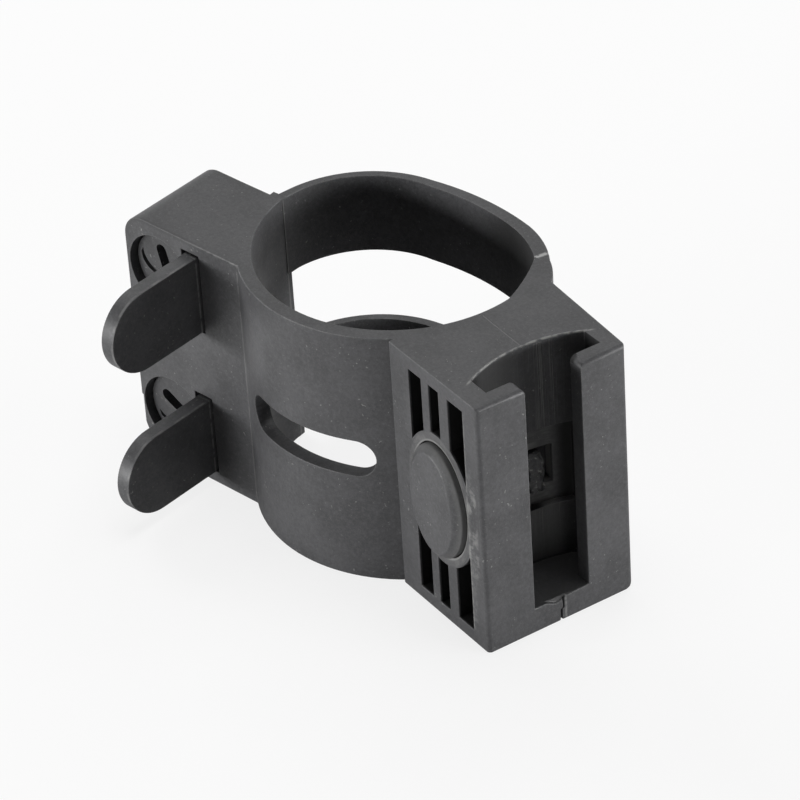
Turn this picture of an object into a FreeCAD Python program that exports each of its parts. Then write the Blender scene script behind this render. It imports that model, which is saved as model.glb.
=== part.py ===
import FreeCAD, Part
import math
import os

# Bike lock bracket: a moulded clamp for a round frame tube, with a T-slot block that takes the
# lock's rail. Two straps run round the far side and are drawn in by worm screws in the boss.
# Frame: +Z up along the tube, +X from the tube to the front of the block, origin on the tube's
# axis at the bracket's lower face. Millimetres. Boss values are in the boss's own turned frame.

# Ring that sits on the tube
HEIGHT = 32.0
BORE_R = 16.0
WALL = 1.7
WALL_SLOT_HEIGHT = 4.6
WALL_SLOT_FROM = -103.5
WALL_SLOT_TO = -44.5

# Worm screws and the straps' toothed tongues
SCREW_PITCH = 19.0
SCREW_LIFT = 0.25
WORM_R = 4.5
WORM_CORE_R = 3.6
WORM_LEAD = 1.6
THREAD_ROOT_SHARE = 0.6
THREAD_CREST_SHARE = 0.28
HELIX_STEPS = 12
WORM_FIT = 0.2
WORM_TO_TEETH = 0.25
WORM_END_GAP = 0.2
HEAD_SUNK = 1.05
HEAD_LENGTH = 1.5
DRIVE_SLOT_LENGTH = 6.2
DRIVE_SLOT_WIDTH = 1.5
DRIVE_SLOT_DEPTH = 1.1
DRIVE_SLOT_TILT = {"upper": 16.6, "lower": 61.5}
RUN_OUT_WIDE = 0.5
RUN_OUT_DEPTH = 0.45
JOURNAL_R = 1.5
JOURNAL_LENGTH = 1.5
JOURNAL_FIT = 0.05

TONGUE_SET = 1.15
TONGUE_THICK = 1.8
TONGUE_HEIGHT = 9.8
TONGUE_BEND_FROM = 0.2
TONGUE_BEND_TO = 4.3
TAIL_OUT = 13.35
TRACK_HEIGHT = 4.8
TRACK_DEPTH = 0.55
TOOTH_DEPTH = 0.5
TOOTH_GAP_TOP = 0.95
TOOTH_GAP_ROOT = 0.55
TRACK_START = 2.6
TRACK_END = 3.0
CHANNEL_SIDE_GAP = 0.2
CHANNEL_FACE_GAP = 0.2
CHANNEL_BACK_GAP = 0.6
ENTRY_WALL = 0.15
ENTRY_THICK = 0.75
ENTRY_GAP = 0.1
NECK_STEP = 0.1

# Boss that houses the screws
BOSS_TURN = 14.0
BOSS_FRONT = 13.85
BOSS_BACK = 1.7
BOSS_END_WALL = 0.45
BOSS_TOP_ROUND = 3.0
BOSS_LOW_ROUND = 5.0
BOSS_CORNER_R = 1.2
END_STEP = 0.2
END_STEP_TOP = 7.3
BOSS_FLOOR = 0.9

# Straps: what each inner surface is drawn in from the bore, and its thickness, by angle
STRAP_START_DRAW = 0.14
STRAP_START_THICK = 1.09
STRAP_LINE = ((168.0, 1.57, 1.0), (130.0, 4.65, 1.25), (95.0, 5.30, 1.42),
              (65.0, 3.62, 1.80), (53.0, 2.45, 1.86), (41.0, 1.17, 1.74))
STRAP_BOSS_GAP = 0.08
STRAP_OVERRUN = 0.5
UPPER_BAND_HEIGHT = 9.9
LOWER_BAND_HEIGHT = 10.0
LOWER_BAND_TOP = 12.8
DRAWN_FROM = 12.0
DRAWN_MID = (26.5, 0.82)

# Block with the T-slot
BLOCK_REACH = 14.0
NEAR_SIDE_WALL = 2.6
FAR_SIDE_WALL = 1.9
NEAR_TAPER = 0.25
FAR_TAPER = 0.53
BLOCK_EDGE_R = 0.5
BLOCK_FOOT_R = 1.0
FRONT_TOP_R = 0.6
SLOT_CENTRE = -1.0
SLOT_FLOOR = 3.1
LIP_THICK = 2.0
SLOT_OPEN = 7.0
SLOT_OPEN_SHIFT = -0.15
LEAD_IN_R = 0.8
SLOT_WIDE = 14.3
SLOT_SIDE_DEPTH = 2.7
SLOT_CROWN = 1.8
CATCH_POCKET_DEPTH = 0.9
CATCH_POCKET_WIDE = 12.0
CATCH_POCKET_LOW = 10.2
CATCH_POCKET_HIGH = 20.5

# Chip torn out of the front edge of the slot's floor: (offset from the slot's centre, drop)
FLOOR_CHIP = ((-2.2, 0.0), (-1.7, 0.2), (-1.05, 0.55), (-0.3, 0.5), (0.05, 0.25), (0.3, 0.1),
              (1.9, 0.0))
FLOOR_CHIP_DEEP = 0.35
CRACK_AT = 0.0
CRACK_WIDE = 0.22
CRACK_DEEP = 0.3
CRACK_LEAN = 0.3

# Lightening slots in the near side of the block: setback of each edge from the front face
SIDE_SLOTS = ((2.7, 5.35, 1.9), (7.0, 8.75, 5.4), (10.1, 12.35, 8.9))
SIDE_SLOT_LOW = 1.6
SIDE_SLOT_HIGH = 30.3

# Oval release button in its collar
BUTTON_SETBACK = 7.73
BUTTON_Z = 15.95
BUTTON_RX = 4.77
BUTTON_RZ = 7.06
BUTTON_TOP_RX = 3.84
BUTTON_TOP_RZ = 6.34
BUTTON_PROUD = 1.2
BUTTON_RIM = 0.45
BUTTON_TRAVEL = 1.2
BUTTON_GAP = 0.12
BUTTON_STOP_GAP = 0.05
COLLAR_WALL = 1.18
SEAT_WALL = 0.8

STEM_INSET = 0.05
STEM_WIDE = 3.5
STEM_HIGH = 6.4
STEM_END = 3.2
STEM_FIT = 0.15
NOSE_END = 1.6
NOSE_REACH = 2.85
NOSE_LONG = 2.5
NOSE_HIGH = 4.6
NOSE_ROUND = 1.0
NOSE_RAMP_HIGH = 1.8
NOSE_RAMP_DEEP = 1.1
BARB_HIGH = 0.6
BARB_LONG = 1.8
BARB_WIDE = 3.0
BARB_AT = -4.8
BARB_GAP = 0.1

SPRING_LENGTH = 3.0
SPRING_COIL_R = 1.45
SPRING_WIRE_R = 0.22
SPRING_TURNS = 3.0
SPRING_END_GAP = 0.03
SPIGOT_R = 0.9
SPIGOT_LONG = 1.2

# Places that follow from the sizes above
TONGUE_IN = BORE_R + TONGUE_SET
TONGUE_OUT = TONGUE_IN + TONGUE_THICK
SCREW_X = TONGUE_OUT - TRACK_DEPTH + WORM_TO_TEETH + WORM_R
SCREW_BORE_R = WORM_R + WORM_FIT
BOSS_END = SCREW_X + SCREW_BORE_R + BOSS_END_WALL
TONGUE_Z = {"upper": HEIGHT / 2 + SCREW_PITCH / 2, "lower": HEIGHT / 2 - SCREW_PITCH / 2}
SCREW_Z = {side: z + SCREW_LIFT for side, z in TONGUE_Z.items()}
SCREW_BORE_END = BOSS_BACK + BOSS_FLOOR + JOURNAL_LENGTH + WORM_END_GAP
WORM_END = SCREW_BORE_END + WORM_END_GAP
BAND = {"upper": (HEIGHT - UPPER_BAND_HEIGHT, HEIGHT),
        "lower": (LOWER_BAND_TOP - LOWER_BAND_HEIGHT, LOWER_BAND_TOP)}
FRONT = BORE_R + BLOCK_REACH
LIP_FACE = FRONT - LIP_THICK
SLOT_SIDE_X = LIP_FACE - SLOT_SIDE_DEPTH
SLOT_BACK_X = SLOT_SIDE_X - SLOT_CROWN
NEAR_Y = SLOT_CENTRE - SLOT_WIDE / 2 - NEAR_SIDE_WALL
FAR_Y = SLOT_CENTRE + SLOT_WIDE / 2 + FAR_SIDE_WALL
BUTTON_X = FRONT - BUTTON_SETBACK
SEAT_Y = SLOT_CENTRE - SLOT_WIDE / 2 - SEAT_WALL
BUTTON_UNDER = SEAT_Y - BUTTON_TRAVEL - BUTTON_STOP_GAP
STEM_SIDE = BUTTON_RX * math.sqrt(1 - (STEM_HIGH / 2 / BUTTON_RZ) ** 2) - STEM_INSET
STEM_X = (BUTTON_X - STEM_SIDE, BUTTON_X - STEM_SIDE + STEM_WIDE)
STEM_Z = (BUTTON_Z - STEM_HIGH / 2, BUTTON_Z + STEM_HIGH / 2)
NOSE_Z = (STEM_Z[0], STEM_Z[0] + NOSE_HIGH)
TUNNEL_END = STEM_END + SPRING_LENGTH


def vec(x, y, z=0.0):
    return FreeCAD.Vector(x, y, z)


def polar(radius, degrees):
    a = math.radians(degrees)
    return vec(radius * math.cos(a), radius * math.sin(a))


def box(x, y, z):
    """Box from three (low, high) pairs."""
    return Part.makeBox(x[1] - x[0], y[1] - y[0], z[1] - z[0], vec(x[0], y[0], z[0]))


def polygon(points):
    return Part.makePolygon(list(points) + [points[0]])


def prism(wire, z):
    """Upright prism on a plan wire between two heights."""
    face = Part.Face(wire)
    face.translate(vec(0, 0, z[0]))
    return face.extrude(vec(0, 0, z[1] - z[0]))


def arc(a, b, c):
    return Part.Arc(a, b, c).toShape()


def line(a, b):
    return Part.LineSegment(a, b).toShape()


def turned(shape):
    """Boss frame to bracket frame."""
    result = shape.copy()
    result.rotate(vec(0, 0), vec(0, 0, 1), BOSS_TURN)
    return result


def turned_point(x, y):
    a = math.radians(BOSS_TURN)
    return vec(x * math.cos(a) - y * math.sin(a), x * math.sin(a) + y * math.cos(a))


def ellipse_wire(y, rx, rz):
    """Oval in a plane across Y, its long axis upright."""
    curve = Part.Ellipse(vec(0, 0), rz, rx)
    edge = curve.toShape()
    edge.rotate(vec(0, 0), vec(0, 0, 1), 90)
    edge.rotate(vec(0, 0), vec(1, 0, 0), 90)
    edge.translate(vec(BUTTON_X, y, BUTTON_Z))
    return Part.Wire([edge])


def oval(rx, rz, y_from, y_to):
    face = Part.Face(ellipse_wire(y_from, rx, rz))
    return face.extrude(vec(0, y_to - y_from, 0))


def near_face(x):
    """Y of the block's near side at a given X; it tapers to the front."""
    return NEAR_Y - NEAR_TAPER * (FRONT - x) / BLOCK_REACH


def far_face(x):
    return FAR_Y + FAR_TAPER * (FRONT - x) / BLOCK_REACH


def strap_stations():
    """Inner and outer plan points of a strap, from the boss to the crease."""
    start_x = -(BORE_R - STRAP_START_DRAW)
    start_y = -BOSS_BACK + STRAP_BOSS_GAP
    inner = [turned_point(start_x, start_y)]
    outer = [turned_point(start_x - STRAP_START_THICK, start_y)]
    for angle, draw, thick in STRAP_LINE:
        inner.append(polar(BORE_R - draw, angle))
        outer.append(polar(BORE_R - draw + thick, angle))
    return inner, outer


def strap_plan():
    """Band of a strap in plan, three arcs each side, from the boss to the crease."""
    inner, outer = strap_stations()
    edges = [line(inner[0], outer[0])]
    for k in (0, 2, 4):
        edges.append(arc(outer[k], outer[k + 1], outer[k + 2]))
    edges.append(line(outer[6], inner[6]))
    for k in (6, 4, 2):
        edges.append(arc(inner[k], inner[k - 1], inner[k - 2]))
    return Part.Wire(edges)


def bore_at_boss_back():
    return math.sqrt(BORE_R ** 2 - BOSS_BACK ** 2)


def tongue_plan():
    """Tongue and tail in plan, in the boss frame: thin at its neck, full behind the bend."""
    neck_in = bore_at_boss_back() + ENTRY_WALL + ENTRY_GAP
    neck_out = neck_in + ENTRY_THICK
    back = -BOSS_BACK + STRAP_BOSS_GAP + STRAP_OVERRUN
    bend_from = -BOSS_BACK - TONGUE_BEND_FROM
    bend_to = -BOSS_BACK - TONGUE_BEND_TO
    tip = -BOSS_FRONT - TAIL_OUT
    return polygon([vec(-neck_in, back), vec(-neck_in, bend_from), vec(-TONGUE_IN, bend_to),
                    vec(-TONGUE_IN, tip), vec(-TONGUE_OUT, tip), vec(-TONGUE_OUT, bend_to),
                    vec(-neck_out, bend_from), vec(-neck_out, back)])


def tongue_teeth(centre_z):
    """Sunk track on the tongue's outer face and the slanted gaps between its teeth."""
    y_from = -BOSS_FRONT - TAIL_OUT + TONGUE_HEIGHT / 2 - TRACK_END
    y_to = -BOSS_BACK - TRACK_START
    z = (centre_z - TRACK_HEIGHT / 2, centre_z + TRACK_HEIGHT / 2)
    crest = -TONGUE_OUT + TRACK_DEPTH
    track = box((-TONGUE_OUT - 1, crest), (y_from, y_to), z)
    lead = math.degrees(math.atan(WORM_LEAD / (2 * math.pi * WORM_R)))
    gaps = []
    count = int((y_to - y_from - TOOTH_GAP_TOP) / WORM_LEAD)
    first = y_to - TOOTH_GAP_TOP
    for k in range(count):
        y = first - k * WORM_LEAD
        top = TOOTH_GAP_TOP / 2
        root = TOOTH_GAP_ROOT / 2
        section = polygon([vec(crest, y - top), vec(crest + TOOTH_DEPTH, y - root),
                           vec(crest + TOOTH_DEPTH, y + root), vec(crest, y + top),
                           vec(crest - 0.2, y + top), vec(crest - 0.2, y - top)])
        gap = prism(section, (z[0] - 1, z[1] + 1))
        gap.rotate(vec(crest, y, centre_z), vec(1, 0, 0), lead)
        gaps.append(gap.common(box((crest - 1, crest + 1), (y - 2, y + 2), z)))
    return turned(track.fuse(gaps))


def strap(side):
    """One strap: band, then a lower tongue with a round-ended tail, toothed towards the screw."""
    band_low, band_high = BAND[side]
    centre = TONGUE_Z[side]
    half = TONGUE_HEIGHT / 2
    band = prism(strap_plan(), (band_low, band_high))
    tongue = prism(tongue_plan(), (centre - half, centre + half))
    far = 2 * BOSS_END
    outside = box((-far, 0), (-BOSS_BACK - STRAP_BOSS_GAP, far),
                  (centre - half - 1, band_low + NECK_STEP))
    tip_y = -BOSS_FRONT - TAIL_OUT + half
    blank = box((-TONGUE_OUT - 1, -TONGUE_IN + 1), (tip_y - half - 1, tip_y),
                (centre - half - 1, centre + half + 1))
    round_end = Part.makeCylinder(half, TONGUE_THICK + 2, vec(-TONGUE_OUT - 1, tip_y, centre),
                                  vec(1, 0, 0))
    tongue = tongue.cut([outside, blank.cut(round_end)])
    return band.fuse(turned(tongue)).cut(tongue_teeth(centre))


def boss_blank():
    """Boss beside the ring, its end face rounded over at top and bottom and at the back."""
    end = -BOSS_END
    top = BOSS_TOP_ROUND
    low = BOSS_LOW_ROUND
    share = 1 - math.sqrt(0.5)
    edges = [line(vec(0, 0), vec(end + low, 0)),
             arc(vec(end + low, 0), vec(end + low * share, low * share), vec(end, low)),
             line(vec(end, low), vec(end, HEIGHT - top)),
             arc(vec(end, HEIGHT - top), vec(end + top * share, HEIGHT - top * share),
                 vec(end + top, HEIGHT)),
             line(vec(end + top, HEIGHT), vec(0, HEIGHT)), line(vec(0, HEIGHT), vec(0, 0))]
    face = Part.Face(Part.Wire(edges))
    face.rotate(vec(0, 0), vec(1, 0, 0), 90)
    face.translate(vec(0, -BOSS_BACK, 0))
    blank = face.extrude(vec(0, -(BOSS_FRONT - BOSS_BACK), 0))
    r = BOSS_CORNER_R
    edges = [line(vec(0, -BOSS_BACK), vec(end + r, -BOSS_BACK)),
             arc(vec(end + r, -BOSS_BACK), vec(end + r * share, -BOSS_BACK - r * share),
                 vec(end, -BOSS_BACK - r)),
             line(vec(end, -BOSS_BACK - r), vec(end, -BOSS_FRONT)),
             line(vec(end, -BOSS_FRONT), vec(0, -BOSS_FRONT)),
             line(vec(0, -BOSS_FRONT), vec(0, -BOSS_BACK))]
    blank = blank.common(prism(Part.Wire(edges), (-1, HEIGHT + 1)))
    step = box((end - 1, end + END_STEP), (-BOSS_FRONT - 1, -BOSS_BACK + 1), (-1, END_STEP_TOP))
    return turned(blank.cut(step))


def screw_seat(side):
    """Blind bore for a worm screw with the small journal hole in its floor."""
    at = vec(-SCREW_X, -BOSS_FRONT - 1, SCREW_Z[side])
    seat = Part.makeCylinder(SCREW_BORE_R, BOSS_FRONT + 1 - SCREW_BORE_END, at, vec(0, 1, 0))
    hole_length = BOSS_FRONT + 1 - BOSS_BACK - BOSS_FLOOR
    hole = Part.makeCylinder(JOURNAL_R + JOURNAL_FIT, hole_length, at, vec(0, 1, 0))
    return turned(seat.fuse(hole))


def tongue_channel(side):
    """Passage through the boss for a tongue, open to the screw's bore."""
    start_in = bore_at_boss_back() + ENTRY_WALL
    start_out = start_in + ENTRY_GAP + ENTRY_THICK + CHANNEL_FACE_GAP
    back = -BOSS_BACK + 1
    bend_from = -BOSS_BACK - TONGUE_BEND_FROM
    bend_to = -BOSS_BACK - TONGUE_BEND_TO
    front = -BOSS_FRONT - 1
    inner_face = -TONGUE_IN + CHANNEL_FACE_GAP
    outer_face = -TONGUE_OUT - CHANNEL_BACK_GAP
    half = TONGUE_HEIGHT / 2 + CHANNEL_SIDE_GAP
    plan = polygon([vec(-start_in, back), vec(-start_in, bend_from), vec(inner_face, bend_to),
                    vec(inner_face, front), vec(outer_face, front), vec(outer_face, bend_to),
                    vec(-start_out, bend_from), vec(-start_out, back)])
    return turned(prism(plan, (TONGUE_Z[side] - half, TONGUE_Z[side] + half)))


def bore_void():
    """Inside of the ring: round on the tube, drawn in beyond the block to meet the straps."""
    inner, outer = strap_stations()
    start = polar(BORE_R, DRAWN_FROM)
    left = polar(BORE_R, 180)
    mid = polar(BORE_R - DRAWN_MID[1], DRAWN_MID[0])
    edges = [arc(left, polar(BORE_R, -90), start), arc(start, mid, inner[6]), line(inner[6], left)]
    return prism(Part.Wire(edges), (-1, HEIGHT + 1))


def shoulder():
    """Rigid stub between the block's far corner and the creases of the straps."""
    inner, outer = strap_stations()
    corner = vec(BORE_R, far_face(BORE_R))
    bulge = (outer[6] + corner) * 0.5
    bulge = bulge + vec(bulge.x, bulge.y).normalize() * 0.25
    root = vec(BORE_R + WALL, 0)
    edges = [arc(outer[6], bulge, corner), line(corner, root), line(root, inner[6] * 0.9),
             line(inner[6] * 0.9, outer[6])]
    return prism(Part.Wire(edges), (0, HEIGHT))


def wall_slot():
    """Round-ended slot through the near wall of the ring."""
    r = WALL_SLOT_HEIGHT / 2
    mid_r = BORE_R + WALL / 2
    z = HEIGHT / 2
    end = math.degrees(math.asin(r / mid_r))
    a = WALL_SLOT_FROM + end
    b = WALL_SLOT_TO - end
    low = BORE_R - 1
    high = BORE_R + WALL + 1
    edges = [arc(polar(high, a), polar(high, (a + b) / 2), polar(high, b)),
             line(polar(high, b), polar(low, b)),
             arc(polar(low, b), polar(low, (a + b) / 2), polar(low, a)),
             line(polar(low, a), polar(high, a))]
    cutter = prism(Part.Wire(edges), (z - r, z + r))
    for angle in (a, b):
        cutter = cutter.fuse(Part.makeCylinder(r, high - low, polar(low, angle) + vec(0, 0, z),
                                               polar(1, angle)))
    return cutter


def block_blank():
    root = BORE_R - WALL
    plan = polygon([vec(root, near_face(root)), vec(FRONT, NEAR_Y), vec(FRONT, FAR_Y),
                    vec(BORE_R, far_face(BORE_R)), vec(root, 0)])
    blank = prism(plan, (0, HEIGHT))
    corners = [e for e in blank.Edges if abs(e.CenterOfMass.x - FRONT) < 0.01
               and abs(e.CenterOfMass.z - HEIGHT / 2) < 0.01
               and abs(e.BoundBox.ZLength - HEIGHT) < 0.01]
    blank = blank.makeFillet(BLOCK_EDGE_R, corners)
    foot = box((BORE_R, FRONT + 1), (FAR_Y - BLOCK_FOOT_R, FAR_Y + FAR_TAPER + 1), (-1, BLOCK_FOOT_R))
    round_foot = Part.makeCylinder(BLOCK_FOOT_R, BLOCK_REACH + 2,
                                   vec(BORE_R, FAR_Y - BLOCK_FOOT_R, BLOCK_FOOT_R), vec(1, 0, 0))
    slope = math.degrees(math.atan(FAR_TAPER / BLOCK_REACH))
    cut = foot.cut(round_foot)
    cut.rotate(vec(FRONT, FAR_Y, 0), vec(0, 0, 1), -slope)
    r = FRONT_TOP_R
    sides = (NEAR_Y - 1, FAR_Y + 1)
    edge = box((FRONT - r, FRONT + 1), sides, (HEIGHT - r, HEIGHT + 1))
    rod = Part.makeCylinder(r, sides[1] - sides[0], vec(FRONT - r, sides[0], HEIGHT - r),
                            vec(0, 1, 0))
    return blank.cut([cut, edge.cut(rod)])


def lead_in(y, side):
    """Rounding of a lip's top where the slot's opening begins."""
    r = LEAD_IN_R
    y0, y1 = (y - r, y) if side < 0 else (y, y + r)
    square = box((LIP_FACE - 0.5, FRONT + 1), (y0, y1), (HEIGHT - r, HEIGHT + 1))
    axis_y = y0 if side < 0 else y1
    rod = Part.makeCylinder(r, LIP_THICK + 2, vec(LIP_FACE - 1, axis_y, HEIGHT - r), vec(1, 0, 0))
    return square.cut(rod)


def floor_chip():
    """Chip in the front edge of the slot's floor and the crack that runs down from it."""
    above = SLOT_FLOOR + 1
    chip = [vec(0, SLOT_CENTRE + dy, SLOT_FLOOR - drop) for dy, drop in FLOOR_CHIP]
    chip += [vec(0, chip[-1].y, above), vec(0, chip[0].y, above)]
    top = SLOT_CENTRE + CRACK_AT
    low = top - CRACK_LEAN
    kink = SLOT_FLOOR / 2
    w = CRACK_WIDE / 2
    left = [vec(0, top - w, above), vec(0, top - w, kink), vec(0, low - w, kink - w),
            vec(0, low - w, -1)]
    right = [vec(0, low + w, -1), vec(0, low + w, kink - w), vec(0, top + w, kink),
             vec(0, top + w, above)]
    cutters = []
    for outline, depth in ((chip, FLOOR_CHIP_DEEP), (left + right, CRACK_DEEP)):
        cutter = Part.Face(polygon(outline)).extrude(vec(depth + 1, 0, 0))
        cutter.translate(vec(FRONT - depth, 0, 0))
        cutters.append(cutter)
    return cutters[0].fuse(cutters[1])


def t_slot():
    """Open-topped T-slot with a crowned back wall, and the deeper pocket round the catch."""
    half = SLOT_WIDE / 2
    mouth = SLOT_OPEN / 2
    y = SLOT_CENTRE
    z = (SLOT_FLOOR, HEIGHT + 1)
    mid = vec(SLOT_BACK_X, y)
    edges = [arc(vec(SLOT_SIDE_X, y - half), mid, vec(SLOT_SIDE_X, y + half)),
             line(vec(SLOT_SIDE_X, y + half), vec(LIP_FACE, y + half)),
             line(vec(LIP_FACE, y + half), vec(LIP_FACE, y - half)),
             line(vec(LIP_FACE, y - half), vec(SLOT_SIDE_X, y - half))]
    wide = prism(Part.Wire(edges), z)
    left = y + SLOT_OPEN_SHIFT - mouth
    right = y + SLOT_OPEN_SHIFT + mouth
    opening = box((SLOT_SIDE_X, FRONT + 1), (left, right), z)
    mouth_cuts = [lead_in(left, -1), lead_in(right, 1)]
    half = CATCH_POCKET_WIDE / 2
    share = half / (SLOT_WIDE / 2)
    deep = SLOT_BACK_X - CATCH_POCKET_DEPTH
    side = deep + SLOT_CROWN * share * share
    edges = [arc(vec(side, y - half), vec(deep, y), vec(side, y + half)),
             line(vec(side, y + half), vec(LIP_FACE - 1, y + half)),
             line(vec(LIP_FACE - 1, y + half), vec(LIP_FACE - 1, y - half)),
             line(vec(LIP_FACE - 1, y - half), vec(side, y - half))]
    pocket = prism(Part.Wire(edges), (CATCH_POCKET_LOW, CATCH_POCKET_HIGH))
    return wide.fuse([opening, pocket] + mouth_cuts)


def side_slots():
    """Upright lightening slots in the near side, left solid where the collar stands."""
    cutters = []
    for near, far, depth in SIDE_SLOTS:
        x = (FRONT - far, FRONT - near)
        y_face = near_face(x[1])
        cutters.append(box(x, (y_face - 2, y_face + depth), (SIDE_SLOT_LOW, SIDE_SLOT_HIGH)))
    slots = Part.makeCompound(cutters)
    rx = BUTTON_RX + BUTTON_GAP + COLLAR_WALL
    rz = BUTTON_RZ + BUTTON_GAP + COLLAR_WALL
    return slots.cut(oval(rx, rz, NEAR_Y - 4, NEAR_Y + 14))


def button_seat():
    """Oval counterbore, guide tunnel, way through to the T-slot for the catch, barb pocket."""
    y = (SEAT_Y - 0.5, TUNNEL_END)
    x = (STEM_X[0] - STEM_FIT, STEM_X[1] + STEM_FIT)
    z = (STEM_Z[0] - STEM_FIT, STEM_Z[1] + STEM_FIT)
    seat = oval(BUTTON_RX + BUTTON_GAP, BUTTON_RZ + BUTTON_GAP, NEAR_Y - 3, SEAT_Y)
    tunnel = box(x, y, z)
    way_end = NOSE_END + BUTTON_TRAVEL + STEM_FIT
    way = box((x[0] + 1, STEM_X[1] + NOSE_REACH + STEM_FIT), (y[0], way_end),
              (NOSE_Z[0] - STEM_FIT, NOSE_Z[1] + STEM_FIT))
    barb = box((STEM_X[0] - BARB_HIGH - STEM_FIT, x[0] + 0.5),
               (BARB_AT - BARB_GAP, BARB_AT + BARB_LONG + BUTTON_TRAVEL + BARB_GAP),
               (BUTTON_Z - BARB_WIDE / 2 - STEM_FIT, BUTTON_Z + BARB_WIDE / 2 + STEM_FIT))
    return seat.fuse([tunnel, way, barb])


def bracket_body():
    ring = Part.makeCylinder(BORE_R + WALL, HEIGHT)
    a = turned_point(-BOSS_END, -BOSS_BACK)
    behind = polygon([vec(0, 0), polar(BORE_R + WALL, 20), polar(2 * BORE_R, 60),
                      polar(2 * BORE_R, 120), polar(2 * BORE_R, 170), a])
    ring = ring.cut(prism(behind, (-1, HEIGHT + 1)))
    body = ring.fuse([boss_blank(), block_blank(), shoulder()])
    body = body.cut(bore_void())
    cutters = [wall_slot(), t_slot(), floor_chip(), side_slots(), button_seat()]
    for side in ("upper", "lower"):
        cutters.append(screw_seat(side))
        cutters.append(tongue_channel(side))
    body = body.cut(cutters)
    body = body.fuse([strap("upper"), strap("lower")])
    return body.removeSplitter()


def helix_edge(radius, lead, turns, offset):
    """Smooth helix about +Z through evenly spaced points."""
    steps = max(2, int(round(turns * HELIX_STEPS)))
    points = []
    for k in range(steps + 1):
        a = 2 * math.pi * turns * k / steps
        z = offset + lead * turns * k / steps
        points.append(vec(radius * math.cos(a), radius * math.sin(a), z))
    curve = Part.BSplineCurve()
    curve.interpolate(points)
    return curve.toShape()


def helical_bar(section, lead, turns):
    """Solid bar of a polygonal section, given as (radius, height) corners, run along a helix."""
    rails = [helix_edge(r, lead, turns, z) for r, z in section]
    faces = []
    for k, rail in enumerate(rails):
        faces.append(Part.makeRuledSurface(rail, rails[(k + 1) % len(rails)]))
    for end in (0, -1):
        corners = [rail.Vertexes[end].Point for rail in rails]
        faces.append(Part.Face(polygon(corners)))
    shell = Part.makeShell(faces)
    shell.sewShape()
    bar = Part.makeSolid(shell)
    if bar.Volume < 0:
        bar.reverse()
    return bar


def worm_thread(length):
    """Helical ridge on the screw's core, run along +Z from the origin."""
    root = WORM_CORE_R - 0.15
    wide = WORM_LEAD * THREAD_ROOT_SHARE / 2
    crest = WORM_LEAD * THREAD_CREST_SHARE / 2
    section = ((root, -wide), (WORM_R, -crest), (WORM_R, crest), (root, wide))
    return helical_bar(section, WORM_LEAD, length / WORM_LEAD)


def thread_run_out():
    """Curved groove beside the drive slot, where the thread runs out in the head's face."""
    half = RUN_OUT_WIDE / 2
    start = vec(-0.72 * WORM_R, -0.5 * WORM_R)
    end = vec(-0.32 * WORM_R, 0.12 * WORM_R)
    mid = vec(-0.66 * WORM_R, -0.08 * WORM_R)
    out = [p + vec(-half, half) for p in (start, mid, end)]
    ins = [p + vec(half, -half) for p in (start, mid, end)]
    edges = [arc(out[0], out[1], out[2]), line(out[2], ins[2]), arc(ins[2], ins[1], ins[0]),
             line(ins[0], out[0])]
    return prism(Part.Wire(edges), (-1, RUN_OUT_DEPTH))


def clamp_screw(side):
    """Worm screw: slotted round head, helical worm and rear journal."""
    front = BOSS_FRONT - HEAD_SUNK
    body_length = front - WORM_END
    thread_length = body_length - HEAD_LENGTH - 1.5 * WORM_LEAD
    head = Part.makeCylinder(WORM_R, HEAD_LENGTH)
    core = Part.makeCylinder(WORM_CORE_R, body_length)
    journal = Part.makeCylinder(JOURNAL_R, body_length + JOURNAL_LENGTH)
    thread = worm_thread(thread_length)
    thread.translate(vec(0, 0, HEAD_LENGTH + 0.75 * WORM_LEAD))
    screw = head.fuse([core, journal]).fuse(thread)
    r = DRIVE_SLOT_WIDTH / 2
    run = DRIVE_SLOT_LENGTH / 2 - r
    slot = box((-r, r), (-run, run), (-1, DRIVE_SLOT_DEPTH))
    for end in (-run, run):
        slot = slot.fuse(Part.makeCylinder(r, DRIVE_SLOT_DEPTH + 1, vec(0, end, -1)))
    slot = slot.fuse(thread_run_out())
    slot.rotate(vec(0, 0), vec(0, 0, 1), -DRIVE_SLOT_TILT[side])
    screw = screw.cut(slot)
    screw.rotate(vec(0, 0), vec(1, 0, 0), -90)
    screw.translate(vec(-SCREW_X, -front, SCREW_Z[side]))
    return turned(screw)


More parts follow.
